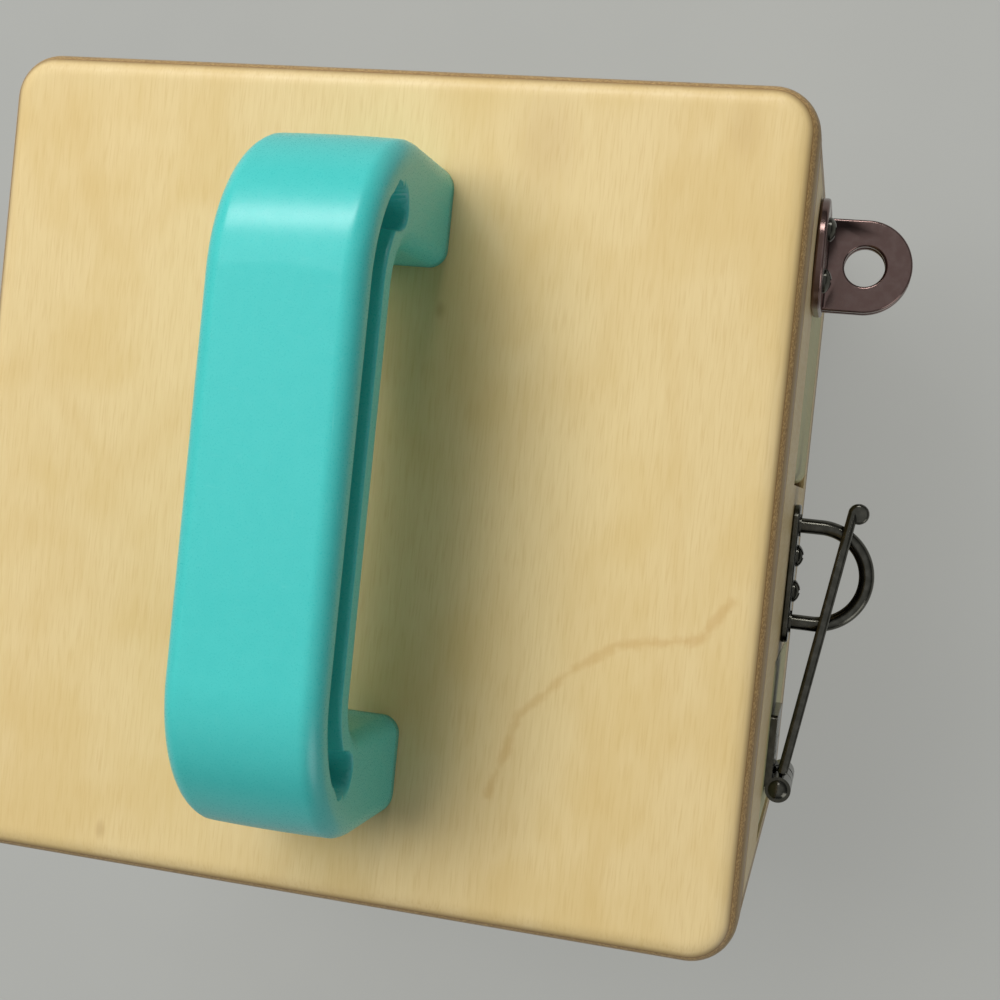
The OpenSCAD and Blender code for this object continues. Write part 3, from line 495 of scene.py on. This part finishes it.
def black_nickel_plate(name, base, bright):
    """Pressed steel, barrel polished and plated in black nickel: a dark mirror with a soft waviness
    from the press, a cloudy bloom about 2 mm across and hairlines about 0.25 mm apart."""
    material, tree, shader = new_material(name)
    wave = noise(tree, millimetres(tree, (0.12, 0.12, 0.12)), 1.5, 0.5)
    hair = noise(tree, millimetres(tree, (0.15, 4.0, 4.0)), 2, 0.5)
    bloom = noise(tree, millimetres(tree, (0.5, 0.5, 0.5)), 3, 0.6)
    body = blend(tree, spread(tree, bloom, 0.38, 0.7, 0.0, 0.3), rgba(base), rgba(bright))
    height = maths(tree, "ADD", wave, maths(tree, "MULTIPLY", hair, 0.03))
    tree.links.new(body, shader.inputs["Base Color"])
    tree.links.new(spread(tree, bloom, 0.3, 0.75, 0.17, 0.25), shader.inputs["Roughness"])
    tree.links.new(bumps(tree, height, 0.15, 0.3), shader.inputs["Normal"])
    shader.inputs["Metallic"].default_value = 1.0
    return material


def zinc_plated_steel(name, metal):
    """Turned steel with a clear zinc plate: pale grey, satin, with a faint cloudy bloom
    and turning marks about 0.25 mm apart."""
    material, tree, shader = new_material(name)
    bloom = noise(tree, millimetres(tree, (0.7, 0.7, 0.7)), 3, 0.6)
    marks = noise(tree, millimetres(tree, (4.0, 4.0, 4.0)), 1, 0.5)
    body = blend(tree, spread(tree, bloom, 0.35, 0.7, 0.0, 0.6), rgba(metal.zinc), rgba(metal.zinc_bloom))
    tree.links.new(body, shader.inputs["Base Color"])
    tree.links.new(spread(tree, bloom, 0.3, 0.7, 0.24, 0.38), shader.inputs["Roughness"])
    tree.links.new(bumps(tree, marks, 0.02, 0.3), shader.inputs["Normal"])
    shader.inputs["Metallic"].default_value = 1.0
    return material


def natural_nylon(name, metal):
    """Moulded nylon 6, undyed: milky white and slightly waxy, with a fine matt tool grain."""
    material, tree, shader = new_material(name)
    grit = noise(tree, millimetres(tree, (4.0, 4.0, 4.0)), 2, 0.5)
    body = blend(tree, spread(tree, grit, 0.3, 0.7), rgba(metal.nylon), rgba(metal.nylon_grain))
    tree.links.new(body, shader.inputs["Base Color"])
    tree.links.new(bumps(tree, grit, 0.02, 0.3), shader.inputs["Normal"])
    shader.inputs["Roughness"].default_value = 0.45
    shader.inputs["IOR"].default_value = 1.53
    return material


def matt_table_top(name, stage):
    """Matt laminate, pale and plain, with a faint mottle about 40 mm across. To the camera and in
    mirrors most of it glows in its own colour, which keeps it as even as a studio's paper sweep."""
    material, tree, shader = new_material(name)
    cloud = noise(tree, millimetres(tree, (0.025, 0.025, 0.025)), 2, 0.5)
    low, high = ([tone * c for c in stage.floor] for tone in (0.5, 0.53))
    body = blend(tree, spread(tree, cloud, 0.3, 0.7), rgba(low), rgba(high))
    tree.links.new(body, shader.inputs["Base Color"])
    shader.inputs["Roughness"].default_value = 0.7
    glow = add(tree, "ShaderNodeEmission", {"Color": rgba(stage.floor), "Strength": stage.wall * 2.0})
    share = maths(tree, "MULTIPLY", looked_at(tree), 0.6)
    both = add(tree, "ShaderNodeMixShader", {0: share, 1: shader.outputs[0], 2: glow.outputs[0]})
    tree.links.new(both.outputs[0], tree.nodes["Material Output"].inputs["Surface"])
    return material


def dress(material, *names):
    """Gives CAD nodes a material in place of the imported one."""
    for name in names:
        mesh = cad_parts[name].data
        mesh.materials.clear()
        mesh.materials.append(material)


# ---------- pieces ----------


class LOCKBOX_OT_panels(bpy.types.Operator):
    """Lacquered plywood on the panels, walls and door stops"""

    bl_idname = "lockbox.panels"
    bl_label = "Panels and walls"

    def execute(self, context):
        wood = context.scene.lockbox_wood
        # knots: across, along, size and depth of colour; the stain's corners: across, along, in mm
        knots = ((13.7, 34.5, 0.7, 0.45), (-44.9, -72.8, 0.8, 0.35), (30.5, 66.3, 4.5, 0.2), (66.7, 70.9, 2.5, 0.16))
        stain = ((73.2, -13.5), (68.2, -21.0), (53.0, -23.8), (44.4, -30.4), (36.7, -38.9), (32.1, -54.5))
        low, high = BOX_LOW[2], BOX_HIGH[2]
        panel = slab_surface("top_panel_sanded", BOX_HIGH[0], wood.corner, low, high, wood.seam, wood.rim)
        ply = lacquered_birch_ply("birch_ply_top_panel", wood, "XYZ", high / MM - SHEET, PLIES, knots, stain)
        finish_piece(panel, ply, "frame", "birch_ply", "top_panel")
        for material, node, order, start_mm, plies in (
            ("birch_ply_base_panel", "base_panel", "XYZ", 0, PLIES),
            ("birch_ply_front_wall", "wall_front", "YZX", BOX_HIGH[0] / MM - SHEET, PLIES),
            ("birch_ply_back_wall", "wall_back", "YZX", BOX_LOW[0] / MM, PLIES),
            ("birch_ply_right_wall", "wall_right", "XZY", BOX_HIGH[1] / MM - SHEET, PLIES),
            ("birch_ply_left_wall", "wall_left", "XZY", BOX_LOW[1] / MM, PLIES),
            ("birch_strip_door_stops", "door_stops", "XZY", -200, 400),
        ):
            dress(lacquered_birch_ply(material, wood, order, start_mm, plies), node)
        return {"FINISHED"}


class LOCKBOX_OT_doors(bpy.types.Operator):
    """Sage paint on the doors, beech on their knobs and on the turn button"""

    bl_idname = "lockbox.doors"
    bl_label = "Doors and knobs"

    def execute(self, context):
        wood = context.scene.lockbox_wood
        paint = sage_painted_ply("sage_paint_on_birch", wood)
        for door in ("hasp_door", "eye_door", "bolt_door", "button_door", "hook_door"):
            finish_piece(rounded_copy(door, door + "_leaf", 0.6), paint, door, "painted_ply", door)
        dress(lacquered_beech("beech_turned_knobs", wood, "XZY"), "button_door_knob", "hook_door_knob")
        button = rounded_copy("turn_button", "turn_button_shaped", 0.8)
        finish_piece(button, lacquered_beech("beech_turn_button", wood, "XZY"), "button", "beech", "turn_button")
        return {"FINISHED"}


class LOCKBOX_OT_metalwork(bpy.types.Operator):
    """Plated finishes of the hinges, latches, pins and screws"""

    bl_idname = "lockbox.metalwork"
    bl_label = "Metalwork"

    def execute(self, context):
        metal = context.scene.lockbox_metal
        eyes = black_nickel_plate("black_nickel_on_eye_plates", metal.nickel, metal.bloom)
        dark = black_nickel_plate("black_nickel_on_hasp_and_bolt", metal.dark, metal.worn)
        for node, radius, material, body in (
            ("frame_eye", 0.6, eyes, "frame"),
            ("door_eye", 0.6, eyes, "eye_door"),
            ("hasp_flap", 0.9, dark, "flap"),
            ("staple_plate", 0.4, dark, "frame"),
            ("bolt_case", 0.4, dark, "bolt_door"),
            ("keeper", 0.4, dark, "frame"),
        ):
            piece = rounded_copy(node, node + "_pressed", radius)
            finish_piece(piece, material, body, "dark_nickel", node)
        dress(dark, "hasp_leaf", "hasp_pin", "hasp_leaf_screws", "staple_loop", "staple_screws", "hook_arm")
        dress(dark, "frame_eye_screws", "door_eye_screws")
        zinc = zinc_plated_steel("zinc_plated_turned_steel", metal)
        dress(zinc, "hasp_door_pins", "eye_door_pins", "bolt_door_pins", "button_door_pins", "hook_door_pins")
        dress(zinc, "bolt_rod", "bolt_screws", "keeper_screws", "button_screw", "button_washer", "handle_screws")
        dress(zinc, "hook_screw", "hook_washer", "hook_peg", "hook_stop")
        dress(natural_nylon("natural_nylon_washers", metal), "hinge_washers")
        return {"FINISHED"}


def handle_outline(h, steps):
    """Matching points of the handle's outer and inner outline in side view, from one foot over the grip
    to the other. Each is a straight leg, a quarter circle c + r (cos a, sin a) and half the grip,
    and the same mirrored; the two run through their three parts together."""
    outer_c = (h.span / 2 - h.corner, h.height - h.corner)
    inner_c = (h.span / 2 - h.foot - h.gap_corner, h.height - h.grip - h.gap_corner)
    leg, turn, top = (np.linspace(0, 1, n, endpoint=False) for n in steps)
    halves = []
    for (cy, cz), r in ((outer_c, h.corner), (inner_c, h.gap_corner)):
        turned = turn * math.pi / 2
        y = np.concatenate([np.full(leg.shape, cy + r), cy + r * np.cos(turned), cy * (1 - top)])
        z = np.concatenate([cz * leg, cz + r * np.sin(turned), np.full(top.shape, cz + r)])
        halves.append((np.concatenate([y, [0], -y[::-1]]), np.concatenate([z, [cz + r], z[::-1]])))
    return halves


def on_ring(turned, radius):
    """The point r (sin a, cos a) at an angle past the top of the handle's corner."""
    return radius * np.array([math.sin(turned), math.cos(turned)])


def groove_depth(h, y, z):
    """Depth of the side groove at a point of the side view. Its plan is a band at a set distance inside
    the outline, up to an angle past the top, and a drop: the shape round three circles, each pair of
    them joined by |p - a - t (b - a)| = ra + t (rb - ra). The depth rises over a narrow lip inside
    that plan, by the smooth step 10 u^3 - 15 u^4 + 6 u^5, as a filleted lip does."""
    cy, cz = h.span / 2 - h.corner, h.height - h.corner
    y = np.abs(y) - cy
    z = z - cz
    ring = np.where(y > 0, np.hypot(y, z), z)
    turned = np.where(y > 0, np.arctan2(y, z), 0.0)
    middle = h.corner - h.groove_in - h.groove_width / 2
    neck = h.groove_end - h.neck_turn
    plan = np.maximum(np.abs(ring - middle) - h.groove_width / 2, (turned - neck) * middle)
    circles = (
        (on_ring(neck, middle), h.groove_width / 2 - 0.1 * MM),
        (on_ring(h.groove_end, middle - h.drop_inset), h.drop_radius),
        (on_ring(h.groove_end, h.corner - h.groove_in - 1.1 * MM), 1.0 * MM),
    )
    for k in range(3):
        (start, wide), (end, thin) = circles[k], circles[(k + 1) % 3]
        step = end - start
        t = np.clip(((y - start[0]) * step[0] + (z - start[1]) * step[1]) / (step @ step), 0, 1)
        away = np.hypot(y - start[0] - t * step[0], z - start[1] - t * step[1])
        plan = np.minimum(plan, away - (wide + t * (thin - wide)))
    inside = np.clip((0.1 * MM - plan) / LIP, 0, 1)
    return h.groove_depth * inside**3 * (10 - 15 * inside + 6 * inside**2)


def handle_section(h, thickness):
    """One closed loop round the handle for each thickness: w across it and s inwards from its outside.
    The outside is w^2 / 2R deep, the corners are quarter circles of the two edge radii, and the sides
    are sampled closely where the groove's lips are."""
    half = h.width / 2
    turned = np.linspace(0, math.pi / 2, 11)
    upper, lower = h.groove_in, h.groove_in + h.groove_width
    side = [np.linspace(h.edge, upper - 0.1 * MM, 3), np.linspace(upper, upper + LIP, 10)]
    side += [np.linspace(upper + 1.4 * LIP, lower - 1.4 * LIP, 6), np.linspace(lower - LIP, lower + 0.1 * MM, 10)]
    side = np.concatenate(side)
    rows = thickness.shape[0]
    below, under = 17, 6  # points down the side below the groove, and across half of the hand gap's face

    def row(values):
        return np.broadcast_to(np.asarray(values, dtype=float), (rows, len(values)))

    top_w = np.linspace(0, half - h.edge, 12)[:-1]
    edge_w = half - h.edge + h.edge * np.sin(turned)
    edge_s = h.edge * (1 - np.cos(turned))
    last = thickness[:, None] - h.gap_edge
    tail = side[-1] + (last - side[-1]) * np.linspace(0, 1, below + 1)[None, 1:]
    gap_w = half - h.gap_edge + h.gap_edge * np.cos(turned[1:])
    gap_s = last + h.gap_edge * np.sin(turned[1:])[None, :]
    under_w = np.linspace(half - h.gap_edge, 0, under + 1)[1:]
    under_s = np.broadcast_to(thickness[:, None], (rows, under))
    straight = np.full(len(side) - 1 + below, half)
    w = np.concatenate([row(part) for part in (top_w, edge_w, straight, gap_w, under_w)], axis=1)
    s = np.concatenate([row(np.zeros(len(top_w))), row(edge_s), row(side[1:]), tail, gap_s, under_s], axis=1)
    s = np.maximum(s, w**2 / (2 * h.dome))
    return np.concatenate([w, -w[:, -2:0:-1]], axis=1), np.concatenate([s, s[:, -2:0:-1]], axis=1)


class LOCKBOX_OT_handle(bpy.types.Operator):
    """The moulded carry handle with its soft edges and the drop ended groove in each side"""

    bl_idname = "lockbox.handle"
    bl_label = "Carry handle"

    def execute(self, context):
        h = context.scene.lockbox_handle
        leg, corner, top = 10, 170, 14  # steps of the outline's three parts
        (oy, oz), (iy, iz) = handle_outline(h, (leg, corner, top))
        thickness = np.hypot(iy - oy, iz - oz)
        w, s = handle_section(h, thickness)
        share = s / thickness[:, None]
        y = oy[:, None] + (iy - oy)[:, None] * share
        z = oz[:, None] + (iz - oz)[:, None] * share
        on_side = np.abs(w) > h.width / 2 - 0.01 * MM
        x = w - np.sign(w) * np.where(on_side, groove_depth(h, y, z), 0)
        points = np.stack([x, y, z + BOX_HIGH[2]], axis=-1)
        rows, columns = x.shape
        faces = loop_faces(rows, columns)
        feet = points[[0, -1]].mean(axis=1)
        for end, first in ((0, 0), (1, (rows - 1) * columns)):
            ring = first + np.arange(columns)
            centre = np.full(columns, rows * columns + end)
            pair = [ring, np.roll(ring, -1)] if end == 0 else [np.roll(ring, -1), ring]
            faces += np.stack([centre, pair[1], pair[0]], axis=-1).tolist()
        piece = mesh_object("handle_moulding", np.concatenate([points.reshape(-1, 3), feet]), faces)
        finish_piece(piece, glossy_moulded_abs("abs_glossy_moulded", h), "frame", "teal_plastic", "handle")
        return {"FINISHED"}


# ---------- stage ----------


def placed(right, up, back, spot):
    """Matrix of a camera or lamp from its three axes and its place."""
    return Matrix([[right[k], up[k], back[k], spot[k]] for k in range(3)] + [[0, 0, 0, 1]])


class LOCKBOX_OT_stage(bpy.types.Operator):
    """Pale floor, soft light and the camera at the photograph's place"""

    bl_idname = "lockbox.stage"
    bl_label = "Stage"

    def execute(self, context):
        scene = context.scene
        stage = scene.lockbox_stage
        reach = 3.0
        corners = [(-reach, -reach, 0), (reach, -reach, 0), (reach, reach, 0), (-reach, reach, 0)]
        floor = mesh_object("floor", corners, [(0, 1, 2, 3)], smooth=False)
        floor.data.materials.append(matt_table_top("matt_table_top", stage))
        lens = bpy.data.cameras.new("photo_camera")
        lens.lens = stage.lens
        lens.sensor_width = 36.0
        camera = bpy.data.objects.new("photo_camera", lens)
        scene.collection.objects.link(camera)
        place = (VIEW_PLACE[0], VIEW_PLACE[1], float(BOX_HIGH[2]) + VIEW_PLACE[2])
        camera.matrix_world = placed(VIEW_RIGHT, VIEW_UP, VIEW_BACK, place)
        scene.camera = camera
        aim = np.array([0, 0, 0.15])  # every lamp faces the middle of the top panel
        for name, spot, size, power in (
            ("skylight", (-0.62, 0.32, 1.62), (0.85, 0.85), stage.key),
            ("window", (-0.2, 0.78, 0.8), (0.75, 0.2), stage.window),
            ("doorway", (1.2, -1.0, 0.45), (0.8, 0.8), stage.doorway),
        ):
            lamp = bpy.data.lights.new(name, "AREA")
            lamp.shape = "RECTANGLE"
            lamp.size, lamp.size_y = size
            lamp.energy = power
            light = bpy.data.objects.new(name, lamp)
            light.visible_glossy = name != "skylight"  # the handle mirrors no bright square in the photo
            scene.collection.objects.link(light)
            away = np.array(spot) - aim
            back = away / np.linalg.norm(away)
            side = np.cross([0, 0, 1], back)
            side /= np.linalg.norm(side)
            light.matrix_world = placed(side, np.cross(back, side), back, spot)
        world = bpy.data.worlds.new("soft_room")
        world.use_nodes = True
        tree = world.node_tree
        up = add(tree, "ShaderNodeSeparateXYZ", {0: add(tree, "ShaderNodeTexCoord").outputs["Generated"]}).outputs["Z"]
        # the room is a plain wall to the camera, a soft gradient in mirrors and an even fill on matt surfaces
        path = add(tree, "ShaderNodeLightPath").outputs
        mirrored = maths(tree, "MULTIPLY", path["Is Glossy Ray"], spread(tree, up, 0.1, 0.95, 0.1, stage.wall * 1.3))
        plain = maths(tree, "MULTIPLY", maths(tree, "SUBTRACT", 1.0, path["Is Glossy Ray"]), stage.fill)
        seen = maths(tree, "MAXIMUM", path["Is Camera Ray"], path["Is Transmission Ray"])
        wall = maths(tree, "MULTIPLY", seen, stage.wall)
        strength = maths(tree, "MAXIMUM", maths(tree, "ADD", mirrored, plain), wall)
        tree.links.new(strength, tree.nodes["Background"].inputs["Strength"])
        tree.nodes["Background"].inputs["Color"].default_value = rgba(stage.sky)
        scene.world = world
        scene.view_settings.view_transform = "Standard"
        return {"FINISHED"}


class LOCKBOX_PT_panel(bpy.types.Panel):
    """Lists the pieces of the lock box"""

    bl_idname = "LOCKBOX_PT_panel"
    bl_label = "Lock Box"
    bl_space_type = "VIEW_3D"
    bl_region_type = "UI"
    bl_category = "Lock Box"

    def draw(self, context):
        for operator in OPERATORS:
            self.layout.operator(operator.bl_idname)
        for group in ("lockbox_handle", "lockbox_wood", "lockbox_metal", "lockbox_stage"):
            settings = getattr(context.scene, group)
            for name in settings.__annotations__:
                self.layout.prop(settings, name)


OPERATORS = (
    LOCKBOX_OT_stage,
    LOCKBOX_OT_panels,
    LOCKBOX_OT_doors,
    LOCKBOX_OT_metalwork,
    LOCKBOX_OT_handle,
)
GROUPS = {
    "lockbox_handle": LOCKBOX_PG_handle,
    "lockbox_wood": LOCKBOX_PG_wood,
    "lockbox_metal": LOCKBOX_PG_metal,
    "lockbox_stage": LOCKBOX_PG_stage,
}


def register():
    """Registers the classes and hangs the groups of settings on the scene."""
    for cls in (*GROUPS.values(), *OPERATORS, LOCKBOX_PT_panel):
        bpy.utils.register_class(cls)
    for name, group in GROUPS.items():
        setattr(bpy.types.Scene, name, bpy.props.PointerProperty(type=group))


def unregister():
    """Takes away what register added."""
    for name in GROUPS:
        delattr(bpy.types.Scene, name)
    for cls in (LOCKBOX_PT_panel, *reversed(OPERATORS), *GROUPS.values()):
        bpy.utils.unregister_class(cls)


def main():
    register()
    for operator in OPERATORS:
        group, name = operator.bl_idname.split(".")
        getattr(getattr(bpy.ops, group), name)()


if __name__ == "__main__":
    main()
